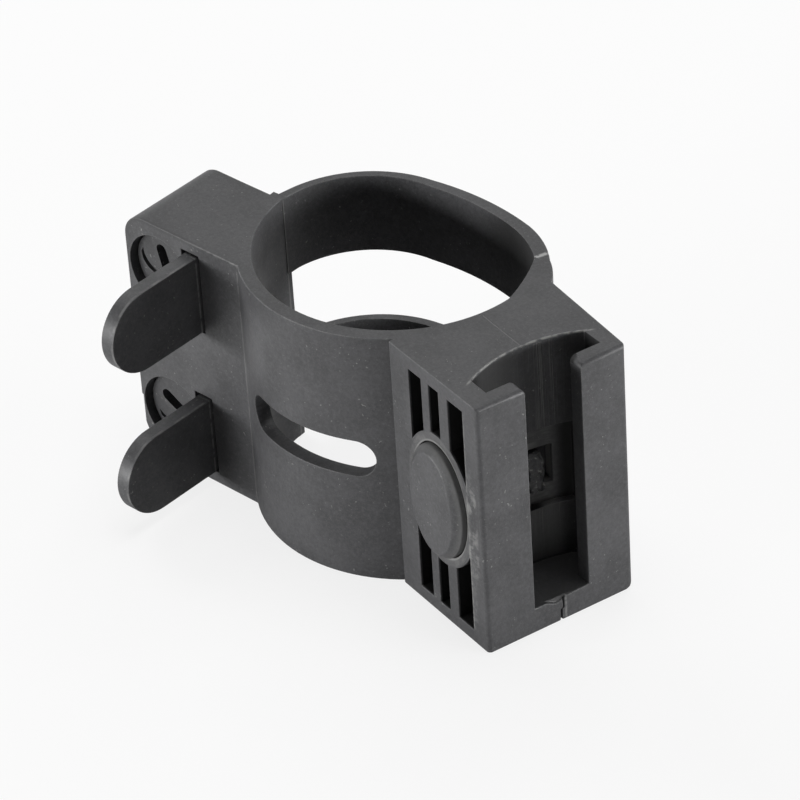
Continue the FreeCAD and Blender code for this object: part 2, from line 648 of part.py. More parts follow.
def release_button():
    """Oval button with its guide stem, rounded catch, snap barb and spring spigot in one piece."""
    face = near_face(BUTTON_X)
    rim = face - BUTTON_RIM
    top = face - BUTTON_PROUD
    foot = oval(BUTTON_RX, BUTTON_RZ, rim, BUTTON_UNDER)
    crown = Part.makeLoft([ellipse_wire(rim, BUTTON_RX, BUTTON_RZ),
                           ellipse_wire(top, BUTTON_TOP_RX, BUTTON_TOP_RZ)], True, True)
    stem = box(STEM_X, (BUTTON_UNDER, STEM_END), STEM_Z)
    x0, x1 = STEM_X[1] - 1, STEM_X[1] + NOSE_REACH
    y0 = NOSE_END - NOSE_LONG
    z0, z1 = NOSE_Z
    side = polygon([vec(x0, y0, z0), vec(x1, y0, z0), vec(x1, y0, z1 - NOSE_RAMP_HIGH),
                    vec(x1 - NOSE_RAMP_DEEP, y0, z1), vec(x0, y0, z1)])
    nose = Part.Face(side).extrude(vec(0, NOSE_LONG, 0))
    rounded = box((x0, x1), (y0, NOSE_END), NOSE_Z)
    upright = [e for e in rounded.Edges
               if e.BoundBox.XMin > x1 - 0.01 and e.BoundBox.ZLength > NOSE_HIGH - 0.01]
    nose = nose.common(rounded.makeFillet(NOSE_ROUND, upright))
    half = BARB_WIDE / 2
    wedge = polygon([vec(STEM_X[0], BARB_AT, BUTTON_Z - half),
                     vec(STEM_X[0] - BARB_HIGH, BARB_AT, BUTTON_Z - half),
                     vec(STEM_X[0], BARB_AT + BARB_LONG, BUTTON_Z - half)])
    barb = Part.Face(wedge).extrude(vec(0, 0, BARB_WIDE))
    middle = (STEM_X[0] + STEM_X[1]) / 2
    spigot = Part.makeCylinder(SPIGOT_R, SPIGOT_LONG + 0.5, vec(middle, STEM_END - 0.5, BUTTON_Z),
                               vec(0, 1, 0))
    return foot.fuse([crown, stem, nose, barb, spigot]).removeSplitter()


def button_spring():
    """Compression spring between the stem and the end of the tunnel, ends ground flat."""
    length = SPRING_LENGTH - 2 * SPRING_END_GAP
    pitch = length / SPRING_TURNS
    section = []
    for k in range(6):
        a = math.radians(30 + 60 * k)
        section.append((SPRING_COIL_R + SPRING_WIRE_R * math.cos(a), SPRING_WIRE_R * math.sin(a)))
    coil = helical_bar(section, pitch, SPRING_TURNS + 1)
    coil.translate(vec(0, 0, -pitch / 2))
    keep = Part.makeCylinder(3 * SPRING_COIL_R, length)
    coil = coil.common(keep)
    coil.rotate(vec(0, 0), vec(1, 0, 0), -90)
    middle = (STEM_X[0] + STEM_X[1]) / 2
    coil.translate(vec(middle, STEM_END + SPRING_END_GAP, BUTTON_Z))
    return coil


def main():
    os.makedirs("parts", exist_ok=True)
    nodes = {
        "bracket_body": bracket_body(),
        "upper_clamp_screw": clamp_screw("upper"),
        "lower_clamp_screw": clamp_screw("lower"),
        "release_button": release_button(),
        "button_spring": button_spring(),
    }
    for name, shape in nodes.items():
        if not shape.isValid() or shape.Volume <= 0 or len(shape.Solids) != 1:
            print("CHECK", name, shape.isValid(), len(shape.Solids))
        if len(shape.Solids) == 1:
            shape = shape.Solids[0]
        box_ = shape.BoundBox
        print(name, "volume %.1f" % shape.Volume, "faces", len(shape.Faces),
              "x %.2f..%.2f y %.2f..%.2f z %.2f..%.2f"
              % (box_.XMin, box_.XMax, box_.YMin, box_.YMax, box_.ZMin, box_.ZMax))
        shape.exportStep("parts/%s.step" % name)


main()
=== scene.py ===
import math
import bpy
from mathutils import Matrix, Vector


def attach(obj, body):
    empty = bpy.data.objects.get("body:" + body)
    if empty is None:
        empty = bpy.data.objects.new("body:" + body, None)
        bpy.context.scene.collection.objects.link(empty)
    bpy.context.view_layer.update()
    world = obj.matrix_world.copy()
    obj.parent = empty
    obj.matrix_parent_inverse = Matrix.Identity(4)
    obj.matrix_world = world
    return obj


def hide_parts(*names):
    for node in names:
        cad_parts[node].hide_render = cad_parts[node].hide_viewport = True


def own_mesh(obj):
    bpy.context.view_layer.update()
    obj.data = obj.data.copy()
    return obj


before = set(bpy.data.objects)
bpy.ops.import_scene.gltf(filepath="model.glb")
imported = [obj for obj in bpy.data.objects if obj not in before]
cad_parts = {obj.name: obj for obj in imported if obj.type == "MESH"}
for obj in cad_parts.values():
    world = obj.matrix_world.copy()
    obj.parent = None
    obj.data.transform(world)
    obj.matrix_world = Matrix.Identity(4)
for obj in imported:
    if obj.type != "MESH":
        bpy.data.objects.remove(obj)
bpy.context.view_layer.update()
MM = 0.001

# Places and sizes on the bracket in millimetres, as the part's source gives them
TOP = 32.0
FRONT = 30.0
MOULD_LINE_X = (16.6, 23.3)
MOULD_LINE_Y = -0.65

# T-slot
SLOT_X = (22.0, 27.9)
SLOT_Y = (-8.3, 6.3)
SLOT_FLOOR = 3.1
SLOT_ARC_X = 38.6
SLOT_ARC_Y = -1.0
SLOT_ARC_R = 15.1
POCKET_LOW = 10.2
POCKET_HIGH = 20.5
WINDOW_X = (14.0, 22.75)
WINDOW_Y = (-2.0, 3.4)
WINDOW_Z = (11.6, 18.4)
CRACK_Y = -0.72

# Where marks, painted light and painted shade in the T-slot run, start or end; a start or end gives the
# range that it fades over
DRAWN_Y = (0.2, 3.1)
DRAWN_START_Z = (5.5, 9.5)
LIT_END_Y = (2.4, 4.0)
END_SHADE_START_Y = (3.0, 4.4)
SHADE_END_Y = (-3.0, 0.5)
BURR_END_X = (25.6, 25.9)

# Straps, each folded at a crease that leans
CREASE_X = 11.2
CREASE_Y = 9.7
CREASE_LEAN = 0.086
CREASE_START_Y = (9.3, 9.6)
INSIDE_START_Y = (-4.0, 2.0)
STRAP_SHADE_START_X = (-2.0, 5.0)
STRAP_SHADE_START_Z = (22.0, 30.0)

# Boss; what is named across or along lies in its own directions, which are turned in plan
BOSS_TURN = math.radians(14.0)
BOSS_FACE_ACROSS = -13.85
MOUTH_ACROSS = (-1.65, -1.45)
MOUTH_END_X = (-12.0, -11.0)
ROOT_START_ACROSS = (-14.22, -14.14)
ROOT_END_ACROSS = (-13.98, -13.92)
ROOT_END_X = (-9.0, -8.0)
TAIL_END_ACROSS = (-14.7, -14.3)
TAIL_RIM_ALONG = (-17.5, -17.22)
EDGE_SHADE_END_X = (-17.0, -9.0)
HIGHLIGHT_START_X = (-18.0, -9.0)
HIGHLIGHT_END_X = (-8.0, -7.2)
SEAM_X = -7.34
SEAM_Y = -16.1
SEAM_START_Z = (0.3, 0.8)

# Near side of the block: a plane that leans, its slots and the scuffs beside them
SIDE_LEAN = 0.01786
SIDE_AT = -11.286
SIDE_START_X = (16.5, 17.0)
NEAR_SLOTS_X = (17.6, 27.36)
NEAR_SLOTS_END_Y = (-8.5, -8.1)
DEEP_SLOTS_X = (17.5, 22.2)
DEEP_SLOTS_Y = (-8.4, -1.5)
SIDE_SLOTS_Z = (1.5, 30.5)
STRIP_X = (27.3, 29.0)
STRIP_Z = (9.0, 22.0)
LOW_STRIP_X = (27.25, 28.3)
LOW_STRIP_Z = (2.0, 12.0)
SLOT_EDGE_X = (27.25, 27.6)
SLOT_EDGE_Z = (2.0, 30.0)

# Button, and ranges of its oval, which is 1 on its outline
BUTTON_X = 22.27
BUTTON_Z = 15.95
BUTTON_RX = 4.77
BUTTON_RZ = 7.06
SLOTS_START_OVAL = (1.2, 1.35)
COLLAR_OVAL = (1.0, 1.38)
GAP_OVAL = (0.9, 1.12)
GAP_Y = (-12.0, -8.0)
FLANK_START_OVAL = (0.74, 0.98)
FLANK_END_Y = (-8.2, -8.0)

# Catch and spring behind the button
CATCH_BOX = ((21.5, -1.2, 12.5), (26.0, 1.8, 17.6))

# Rounding of moulded edges, and boxes that are too tight for it, so their edges stay sharp
EDGE_ROUNDING = 0.12
SCREW_ROUNDING = 0.07
BLOCK_FOOT = ((14.9, 7.5, -0.1), (16.7, 9.6, 33.0))
STRAP_MOUTHS = ((-19.0, -6.2, -1.0), (-14.8, -4.0, 33.0))
POCKET_CORNER = ((22.5, -7.3, 10.0), (25.5, -6.5, 20.8))
BUTTON_STOP = ((17.2, -9.9, 11.0), (18.8, -8.5, 21.0))
BUTTON_BACK = ((16.0, -10.4, 10.0), (27.0, -10.0, 22.0))
BODY_SHARP = (BLOCK_FOOT, STRAP_MOUTHS, POCKET_CORNER, BUTTON_STOP)
BUTTON_SHARP = (BUTTON_BACK,)

# How a copied mesh is cleaned: distance in millimetres, angles in degrees
MERGE_WITHIN = 0.002
FLAT_UNDER = 0.6
EDGE_OVER = 32
SMOOTH_UNDER = 38

# Plastics, in linear colour
BODY_CHARCOAL = (0.052, 0.052, 0.0545)
SCREW_CHARCOAL = (0.04, 0.04, 0.042)
BUTTON_CHARCOAL = (0.061, 0.061, 0.0635)

# Pale marks and painted light, in linear colour
WHITENED_CREASE = (0.36, 0.36, 0.355)
TORN_EDGE = (0.3, 0.3, 0.29)
CATCH_GLINT = (0.3, 0.3, 0.285)
DUST = (0.26, 0.26, 0.25)
SCUFFED = (0.22, 0.22, 0.215)
MOULD_LINE = (0.2, 0.2, 0.2)
WORN_EDGE_AND_HIGHLIGHT = (0.2, 0.2, 0.198)
LIT_GAP = (0.2, 0.2, 0.197)
PALE_SEAM_AND_PAINTED_LIGHT = (0.2, 0.2, 0.195)
SCRAPES_AND_PAINTED_LIGHT = (0.17, 0.17, 0.166)
COLLAR_WEAR = (0.15, 0.15, 0.147)
DRAWN_LINE = (0.13, 0.13, 0.127)
BUTTON_FLANK_PAINTED_LIGHT = (0.13, 0.13, 0.128)
CATCH_SCUFF = (0.13, 0.13, 0.125)

# Painted shade, in linear colour
EDGE_SHADE = (0.035, 0.035, 0.0365)
FLOOR_SHADE = (0.015, 0.015, 0.015)
WALL_SHADE = (0.012, 0.012, 0.012)
STRAP_SHADE = (0.008, 0.008, 0.008)
SLOT_END_SHADE = (0.006, 0.006, 0.006)
DEEP_SHADE = (0.002, 0.002, 0.002)

# Stage, in metres, degrees and watts
WHITE = (1, 1, 1, 1)
FLOOR_SIZE = 6.0
FLOOR_GLOW = 0.8
WORLD_FILL = 0.01
LAMP_REACH = 0.9
LAMP_CENTRE = Vector((0, 0, 0.01))
LAMP_AIM = Vector((0, 0, 0.015))
SQUARE_LAMP = (0.45, 0.45)

# The photograph's viewpoint, in millimetres and degrees
CAMERA_AT = (353.1, -218.1, 313.7)
CAMERA_AZIMUTH = -31.5497
CAMERA_ELEVATION = 36.0817
CAMERA_ROLL = -3.8216
CAMERA_LENS = 210.5
CAMERA_SENSOR = 36.0


# meshes
def put_down():
    """Leave edit mode with nothing selected."""
    if bpy.context.object and bpy.context.object.mode == "EDIT":
        bpy.ops.object.mode_set(mode="OBJECT")
    bpy.ops.object.select_all(action="DESELECT")


def pick_up(obj):
    """Make the object the only one that is selected."""
    put_down()
    obj.select_set(True)
    bpy.context.view_layer.objects.active = obj


def apply_all(obj):
    pick_up(obj)
    for modifier in list(obj.modifiers):
        bpy.ops.object.modifier_apply(modifier=modifier.name)


def in_box(point, low, high):
    return all(low[i] < point[i] < high[i] for i in range(3))


def weigh_edges(mesh, sharp):
    """Bevel weight 1 on the selected edges, except where both ends lie in one of the sharp boxes."""
    weight = mesh.attributes.new("bevel_weight_edge", "FLOAT", "EDGE")
    for edge in mesh.edges:
        ends = [mesh.vertices[k].co / MM for k in edge.vertices]
        kept = any(in_box(ends[0], *box) and in_box(ends[1], *box) for box in sharp)
        weight.data[edge.index].value = 1.0 if edge.select and not kept else 0.0


def moulded_copy(node, name, rounding, sharp=()):
    """The node's shape as one clean mesh with rounded edges, as it leaves the mould."""
    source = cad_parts[node]
    put_down()
    piece = source.copy()
    piece.data = source.data.copy()
    piece.name = name
    bpy.context.scene.collection.objects.link(piece)
    piece.parent = None
    piece.data.materials.clear()
    pick_up(piece)
    if piece.data.has_custom_normals:
        bpy.ops.mesh.customdata_custom_splitnormals_clear()
    bpy.ops.object.mode_set(mode="EDIT")
    bpy.ops.mesh.select_all(action="SELECT")
    bpy.ops.mesh.remove_doubles(threshold=MERGE_WITHIN * MM)
    bpy.ops.mesh.dissolve_limited(angle_limit=math.radians(FLAT_UNDER))
    bpy.ops.mesh.select_mode(type="EDGE")
    bpy.ops.mesh.select_all(action="DESELECT")
    bpy.ops.mesh.edges_select_sharp(sharpness=math.radians(EDGE_OVER))
    bpy.ops.object.mode_set(mode="OBJECT")
    if rounding:
        weigh_edges(piece.data, sharp)
        bevel = piece.modifiers.new("rounded_edges", "BEVEL")
        bevel.width = rounding * MM
        bevel.segments = 2
        bevel.limit_method = "WEIGHT"
        bevel.use_clamp_overlap = False
        bevel.loop_slide = False
        apply_all(piece)
    bpy.ops.object.shade_smooth_by_angle(angle=math.radians(SMOOTH_UNDER))
    return piece


def shade_flat_faces_flat(piece):
    """Let the large faces set the normals, so that a flat face is flat up to its rounded edge."""
    even = piece.modifiers.new("even_shading", "WEIGHTED_NORMAL")
    even.keep_sharp = True
    apply_all(piece)


def roughen_catch(button):
    """Break up the catch's end with small irregular lumps, as on the worn part."""
    cuts = 4
    left_alone = Vector((1, 0.1, 0.1)) * 0.3
    lump_size = 0.9
    lump_height = 0.6
    share_inwards = 0.85

    pick_up(button)
    low, high = (Vector(corner) * MM for corner in CATCH_BOX)
    bpy.ops.object.mode_set(mode="EDIT")
    bpy.ops.mesh.select_mode(type="FACE")
    bpy.ops.mesh.select_all(action="DESELECT")
    bpy.ops.object.mode_set(mode="OBJECT")
    for face in button.data.polygons:
        face.select = in_box(face.center, low, high)
    bpy.ops.object.mode_set(mode="EDIT")
    bpy.ops.mesh.quads_convert_to_tris()
    for cut in range(cuts):
        bpy.ops.mesh.subdivide(number_cuts=1)
    bpy.ops.object.mode_set(mode="OBJECT")
    group = button.vertex_groups.new(name="catch_end")
    for vertex in button.data.vertices:
        if in_box(vertex.co, low + left_alone * MM, high):
            group.add([vertex.index], 1.0, "REPLACE")
    lumps = bpy.data.textures.new("catch_lumps", "CLOUDS")
    lumps.noise_scale = lump_size * MM
    lumps.noise_depth = 3
    push = button.modifiers.new("catch_lumps", "DISPLACE")
    push.texture = lumps
    push.texture_coords = "LOCAL"
    push.vertex_group = group.name
    push.strength = lump_height * MM
    push.mid_level = share_inwards
    apply_all(button)
    button.vertex_groups.clear()


# shader maths
class Value:
    """A shader socket that adds its own Math nodes when it is used in an expression."""

    def __init__(self, finish, socket):
        self.finish = finish
        self.socket = socket

    def math(self, operation, first, second=None):
        inputs = {0: first}
        if second is not None:
            inputs[1] = second
        return self.finish.node("ShaderNodeMath", {"operation": operation}, inputs)

    def __add__(self, other):
        return self.math("ADD", self, other)

    def __radd__(self, other):
        return self.math("ADD", other, self)

    def __sub__(self, other):
        return self.math("SUBTRACT", self, other)

    def __rsub__(self, other):
        return self.math("SUBTRACT", other, self)

    def __mul__(self, other):
        return self.math("MULTIPLY", self, other)

    def __rmul__(self, other):
        return self.math("MULTIPLY", other, self)

    def __abs__(self):
        return self.math("ABSOLUTE", self)

    def step(self, low, high):
        """0 below low, 1 above high, smooth between; both limits are numbers."""
        settings = {"interpolation_type": "SMOOTHSTEP"}
        return self.finish.node("ShaderNodeMapRange", settings, {0: self, 1: low, 2: high})

    def before(self, low, high):
        """1 below low, 0 above high, smooth between."""
        return 1 - self.step(low, high)

    def within(self, low, high, soft):
        """1 between low and high, 0 outside, with a soft change at both."""
        return self.step(low - soft, low + soft) * self.before(high - soft, high + soft)

    def near(self, place, core, fade):
        """1 up to core away from the place, 0 beyond fade."""
        return abs(self - place).before(core, fade)


class Finish:
    """One material, built node by node on its principled shader."""

    def __init__(self, name, roughness):
        self.material = bpy.data.materials.new(name)
        self.material.use_nodes = True
        self.tree = self.material.node_tree
        self.shader = self.tree.nodes["Principled BSDF"]
        self.shader.inputs["Roughness"].default_value = roughness
        self.place = self.node("ShaderNodeTexCoord", {}, {}, "Object")
        # Object coordinates in millimetres
        self.x, self.y, self.z = (axis * (1 / MM) for axis in self.axes(self.place))
        self.normal = self.node("ShaderNodeNewGeometry", {}, {}, "Normal")
        normal_x, normal_y, normal_z = self.axes(self.normal)
        # 1 where a surface of the ring faces the axis of the tube
        self.facing_in = (0 - (normal_x * self.x + normal_y * self.y)).step(2.0, 6.0)

    def axes(self, vector):
        parts = self.node("ShaderNodeSeparateXYZ", {}, {0: vector})
        return [Value(self, output) for output in parts.socket.node.outputs]

    def node(self, kind, settings, inputs, output=0):
        node = self.tree.nodes.new(kind)
        for key, value in settings.items():
            setattr(node, key, value)
        for key, value in inputs.items():
            self.feed(node.inputs[key], value)
        return Value(self, node.outputs[output])

    def feed(self, socket, value):
        if isinstance(value, Value):
            self.tree.links.new(value.socket, socket)
        else:
            socket.default_value = value

    def noise(self, size, detail=2.0, stretch=(1, 1, 1), roughness=0.5):
        """Noise with features of about the given size in millimetres."""
        inputs = {"Vector": self.place, "Scale": tuple(s / MM for s in stretch)}
        place = self.node("ShaderNodeMapping", {}, inputs)
        inputs = {"Vector": place, "Scale": 1 / size, "Detail": detail, "Roughness": roughness}
        return self.node("ShaderNodeTexNoise", {}, inputs)

    def mix(self, factor, first, second):
        """Colour mix; colours are linear triples or sockets."""
        a = first if isinstance(first, Value) else (*first, 1)
        b = second if isinstance(second, Value) else (*second, 1)
        inputs = {0: factor, 6: a, 7: b}
        return self.node("ShaderNodeMix", {"data_type": "RGBA"}, inputs, 2)

    def edge(self, radius, low, high):
        """Mask of the outer and inner edges, from how far a rounded normal turns away."""
        rounded = self.node("ShaderNodeBevel", {"samples": 4}, {"Radius": radius * MM})
        inputs = {0: rounded, 1: self.normal}
        along = self.node("ShaderNodeVectorMath", {"operation": "DOT_PRODUCT"}, inputs, "Value")
        return (1 - along).step(low, high)

    def bump(self, height, distance, strength):
        inputs = {"Height": height, "Distance": distance * MM, "Strength": strength}
        return self.node("ShaderNodeBump", {}, inputs)

    def coat(self, colour, roughness, normal=None):
        """Feed the shader and hand over the material."""
        self.feed(self.shader.inputs["Base Color"], colour)
        self.feed(self.shader.inputs["Roughness"], roughness)
        if normal is not None:
            self.feed(self.shader.inputs["Normal"], normal)
        return self.material


# finishes
def toned(tone, share):
    return tuple(share * c for c in tone)


def moulded_plastic(name, tone, marks=None):
    """Charcoal nylon: fine grain, faint flow mottling, dust specks and pale edges, partly worn and
    partly a painted highlight.
    """
    f = Finish(name, 0.5)
    f.shader.inputs["Specular IOR Level"].default_value = 0.42
    cloud = f.noise(6.0, 3.0)
    grain = f.noise(0.16, 2.0)
    colour = f.mix(cloud.step(0.3, 0.7), toned(tone, 0.78), toned(tone, 1.16))
    colour = f.mix(grain.step(0.35, 0.75) * 0.35, colour, toned(tone, 1.55))
    mottle = f.noise(0.45, 4.0, roughness=0.75)
    colour = f.mix(mottle.step(0.5, 0.66) * 0.36, colour, toned(tone, 1.8))
    colour = f.mix(mottle.before(0.34, 0.5) * 0.36, colour, toned(tone, 0.5))
    specks = f.noise(0.36, 1.0).step(0.7, 0.76) * f.noise(4.0, 2.0).step(0.42, 0.6)
    colour = f.mix(specks * 0.55, colour, DUST)
    # Pale edges: partly worn, partly a painted highlight
    wear_and_highlight = f.edge(0.22, 0.02, 0.13) * f.noise(1.3, 3.0).step(0.28, 0.58)
    colour = f.mix(wear_and_highlight * 0.5, colour, WORN_EDGE_AND_HIGHLIGHT)
    height = grain * 0.6 + f.noise(0.5, 2.0) * 0.4
    rough = f.noise(2.2, 2.0) * 0.16 + 0.42
    if marks:
        colour, height, dull = marks(f, colour, height)
        rough = rough + dull * 0.5
    return f.coat(colour, rough, f.bump(height, 0.035, 0.7))


def squared_away(first, second, place):
    """Square of the distance from a place, measured along two axes."""
    a, b = place
    return (first - a) * (first - a) + (second - b) * (second - b)


def button_oval(f):
    """1 on the button's outline, less inside it, more outside, growing with the square of the size."""
    return ((f.x - BUTTON_X) * (f.x - BUTTON_X) * (1 / BUTTON_RX ** 2)
            + (f.z - BUTTON_Z) * (f.z - BUTTON_Z) * (1 / BUTTON_RZ ** 2))


def slot_marks(f, colour):
    """Draw lines and scrapes on the T-slot's walls, painted light on the left of its back wall and in
    the catch's opening, painted shade at its right end, upper left, floor and depths, its burred and
    torn edges.
    """
    x, y, z = f.x, f.y, f.z
    in_slot = x.within(*SLOT_X, 0.1) * y.within(*SLOT_Y, 0.05)
    in_slot = in_slot * z.within(SLOT_FLOOR + 0.3, TOP - 0.3, 0.1)
    pocket = in_slot * z.within(POCKET_LOW, POCKET_HIGH, 0.1)

    middle = y.within(*DRAWN_Y, 0.4) * 0.85 + 0.15
    fading_down = z.step(*DRAWN_START_Z) * 0.8 + 0.2
    upright_lines = f.noise(0.22, 3.0, (1, 1, 0.012)).step(0.47, 0.66)
    draws = upright_lines * in_slot * (1 - pocket) * middle * fading_down
    colour = f.mix(draws * 0.75, colour, DRAWN_LINE)

    scrapes = f.noise(0.25, 3.0, (1, 0.1, 1)).step(0.4, 0.7)
    # Painted light on the left part of the back wall, with scrapes in the pocket
    lit = in_slot * y.before(*LIT_END_Y) * z.before(POCKET_HIGH - 0.1, POCKET_HIGH + 0.1)
    colour = f.mix(lit * (scrapes * pocket * 0.35 + 0.35), colour, SCRAPES_AND_PAINTED_LIGHT)
    # Painted shade at the right end of the wall, behind the right lip
    shaded_end = in_slot * y.step(*END_SHADE_START_Y)
    colour = f.mix(shaded_end * (0.35 + pocket * 0.6), colour, SLOT_END_SHADE)
    shade = in_slot * y.before(*SHADE_END_Y) * z.step(POCKET_HIGH, POCKET_HIGH + 1.0)
    colour = f.mix(shade * 0.85, colour, WALL_SHADE)

    floor = x.within(SLOT_X[0], FRONT - 0.2, 0.05) * y.within(*SLOT_Y, 0.05)
    floor = floor * z.within(SLOT_FLOOR - 0.5, SLOT_FLOOR + 0.1, 0.05)
    colour = f.mix(floor * 0.6, colour, FLOOR_SHADE)
    # Painted light on the inner walls of the catch's opening, so the hollow looks less dark
    window_painted_light = x.within(*WINDOW_X, 0.1) * y.within(*WINDOW_Y, 0.1) * z.within(*WINDOW_Z, 0.1)
    colour = f.mix(window_painted_light * 0.8, colour, PALE_SEAM_AND_PAINTED_LIGHT)

    squared = squared_away(x, y, (SLOT_ARC_X, SLOT_ARC_Y))
    off_arc = abs(squared - SLOT_ARC_R * SLOT_ARC_R) * (0.5 / SLOT_ARC_R)
    burr = off_arc.before(0.06, 0.2) * z.step(TOP - 0.3, TOP - 0.1) * x.before(*BURR_END_X)
    burr = burr * f.noise(0.7, 3.0).step(0.32, 0.55)
    colour = f.mix(burr * 0.7, colour, DUST)
    below_floor = z.before(SLOT_FLOOR - 0.1, SLOT_FLOOR + 0.2)
    torn = y.near(CRACK_Y, 0.05, 0.2) * x.step(FRONT - 0.5, FRONT - 0.1) * below_floor
    colour = f.mix(torn * f.noise(0.5, 3.0).step(0.3, 0.6) * 0.32, colour, TORN_EDGE)
    return colour, draws


def strap_marks(f, colour, on_top):
    """Whitened creases, and the shade inside the upper strap."""
    x, y, z = f.x, f.y, f.z
    bend = abs(x - CREASE_X - (y - CREASE_Y) * CREASE_LEAN)
    ragged = f.noise(0.4, 2.0, (1, 1, 0.3)).step(0.3, 0.6)
    crease = bend.before(0.04, 0.22) + bend.before(0.1, 0.42) * on_top
    crease = crease * y.step(*CREASE_START_Y) * ragged
    colour = f.mix(crease * 0.8, colour, WHITENED_CREASE)
    inner = f.facing_in * y.step(*INSIDE_START_Y)
    high_right = x.step(*STRAP_SHADE_START_X) * z.step(*STRAP_SHADE_START_Z)
    colour = f.mix(inner * high_right * 0.88, colour, STRAP_SHADE)
    return colour, inner


def boss_marks(f, colour, on_top):
    """Marks on the boss: its pale seam, painted shade and a painted highlight along its front edge,
    painted highlights at the strap mouths, the tails' roots and rims.
    """
    x, y, z = f.x, f.y, f.z
    along = x * math.cos(BOSS_TURN) + y * math.sin(BOSS_TURN)
    across = y * math.cos(BOSS_TURN) - x * math.sin(BOSS_TURN)

    off_seam = squared_away(x, y, (SEAM_X, SEAM_Y))
    seam = off_seam.before(0.008, 0.05) * z.step(*SEAM_START_Z) * f.noise(1.1, 3.0).step(0.3, 0.5)
    colour = f.mix(seam * 0.3, colour, PALE_SEAM_AND_PAINTED_LIGHT)

    # Painted shade on the left part of the top front edge, dimming its highlight
    dull = across.near(BOSS_FACE_ACROSS, 0.2, 0.5) * z.step(TOP - 0.6, TOP - 0.3)
    colour = f.mix(dull * x.before(*EDGE_SHADE_END_X) * 0.75, colour, EDGE_SHADE)
    # Painted highlight on the right part of the same edge
    edge_highlight = across.near(BOSS_FACE_ACROSS, 0.05, 0.16) * z.step(TOP - 0.25, TOP - 0.1)
    edge_highlight = edge_highlight * x.before(*HIGHLIGHT_END_X) * f.noise(0.9, 3.0).step(0.33, 0.55)
    colour = f.mix(edge_highlight * x.step(*HIGHLIGHT_START_X) * 0.4, colour, PALE_SEAM_AND_PAINTED_LIGHT)

    # Painted highlight along the inner edges at the strap mouths
    mouth_highlight = across.within(*MOUTH_ACROSS, 0.03) * f.facing_in * (1 - on_top)
    colour = f.mix(mouth_highlight * x.before(*MOUTH_END_X) * 0.45, colour, PALE_SEAM_AND_PAINTED_LIGHT)
    # Painted highlight at the tails' roots
    root_highlight = across.before(*ROOT_END_ACROSS) * across.step(*ROOT_START_ACROSS) * x.before(*ROOT_END_X)
    colour = f.mix(root_highlight * f.noise(0.8, 3.0).step(0.3, 0.55) * 0.7, colour, PALE_SEAM_AND_PAINTED_LIGHT)
    # Painted highlight along the tails' rims
    rim_highlight = along.within(*TAIL_RIM_ALONG, 0.04) * across.before(*TAIL_END_ACROSS)
    colour = f.mix(rim_highlight * f.noise(1.6, 3.0).step(0.35, 0.6) * 0.5, colour, SCRAPES_AND_PAINTED_LIGHT)
    return colour


def side_marks(f, colour):
    """Near side of the block: painted shade in the slots, scuffs beside them, worn collar and painted
    light in the button gap.
    """
    x, y, z = f.x, f.y, f.z
    behind_face = y - x * SIDE_LEAN - SIDE_AT
    oval = button_oval(f)

    # Painted shade, near black, inside the side slots
    near_slots = x.within(*NEAR_SLOTS_X, 0.03) * behind_face.step(0.1, 0.35)
    near_slots = near_slots * y.before(*NEAR_SLOTS_END_Y) * oval.step(*SLOTS_START_OVAL)
    deep_slots = x.within(*DEEP_SLOTS_X, 0.05) * y.within(*DEEP_SLOTS_Y, 0.1)
    deep_shade = (near_slots + deep_slots) * z.within(*SIDE_SLOTS_Z, 0.1)
    colour = f.mix(deep_shade, colour, DEEP_SHADE)

    near_side = behind_face.before(0.05, 0.15) * x.step(*SIDE_START_X)
    blotch = f.noise(1.2, 6.0, roughness=0.8)
    worn = f.noise(1.5, 4.0, roughness=0.7).step(0.46, 0.64)
    strip = near_side * x.within(*STRIP_X, 0.25) * z.within(*STRIP_Z, 2.5) * worn
    low_strip = near_side * x.within(*LOW_STRIP_X, 0.2) * z.within(*LOW_STRIP_Z, 1.0)
    slot_edge = near_side * x.within(*SLOT_EDGE_X, 0.05) * z.within(*SLOT_EDGE_Z, 0.5)
    low_strip = low_strip * blotch.step(0.44, 0.56)
    slot_edge = slot_edge * blotch.step(0.4, 0.55)
    colour = f.mix(strip * 0.6 + low_strip * 0.25 + slot_edge * 0.4, colour, SCUFFED)

    collar = near_side * oval.within(*COLLAR_OVAL, 0.05)
    colour = f.mix(collar * (0.2 + blotch.step(0.48, 0.62) * 0.35), colour, COLLAR_WEAR)
    gap = oval.within(*GAP_OVAL, 0.03) * y.within(*GAP_Y, 0.2)
    colour = f.mix(gap * 0.85, colour, LIT_GAP)
    return colour, deep_shade


def body_marks(f, colour, height):
    """All marks of the bracket's body; gives colour, height and where the finish is dull."""
    on_top = f.z.step(TOP - 0.2, TOP - 0.05)
    line = f.y.near(MOULD_LINE_Y, 0.03, 0.1) * f.x.within(*MOULD_LINE_X, 0.1) * on_top
    colour = f.mix(line * 0.5, colour, MOULD_LINE)
    colour, draws = slot_marks(f, colour)
    colour, inner = strap_marks(f, colour, on_top)
    colour = boss_marks(f, colour, on_top)
    colour, deep_shade = side_marks(f, colour)
    height = height + draws * 1.2 + line * 2.0
    return colour, height, deep_shade + inner * 0.8


